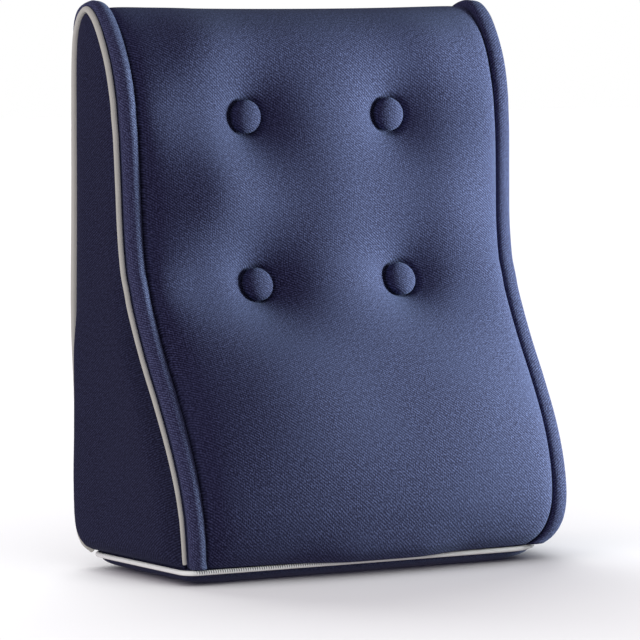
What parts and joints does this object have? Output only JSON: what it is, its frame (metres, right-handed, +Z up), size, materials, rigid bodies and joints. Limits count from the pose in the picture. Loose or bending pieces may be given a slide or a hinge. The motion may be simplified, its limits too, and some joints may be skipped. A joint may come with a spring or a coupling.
{
  "type": "backrest pillow",
  "caption": "Upright wedge backrest pillow in navy woven cloth, tufted front with covered buttons, padded side rolls, cream piping and a padded base",
  "frame": {"origin": "middle of the width and of the depth, at the level that the pillow stands on", "axes": "+Z up, front with the buttons towards -Y, +X to the right of someone looking at the front"},
  "size_m": [0.438, 0.216, 0.5008],
  "materials": {
    "navy_cloth": "matte fine melange weave",
    "cream_piping": "matte smooth cord cover"
  },
  "bodies": {
    "root": {"cushion_body": "navy_cloth", "side_roll_left": "navy_cloth", "side_roll_right": "navy_cloth", "side_panel_left": "navy_cloth", "side_panel_right": "navy_cloth", "base_panel": "navy_cloth", "button_top_left": "navy_cloth", "button_top_right": "navy_cloth", "button_bottom_left": "navy_cloth", "button_bottom_right": "navy_cloth", "side_piping_left": "cream_piping", "side_piping_right": "cream_piping", "base_piping": "cream_piping"}
  },
  "joints": []
}
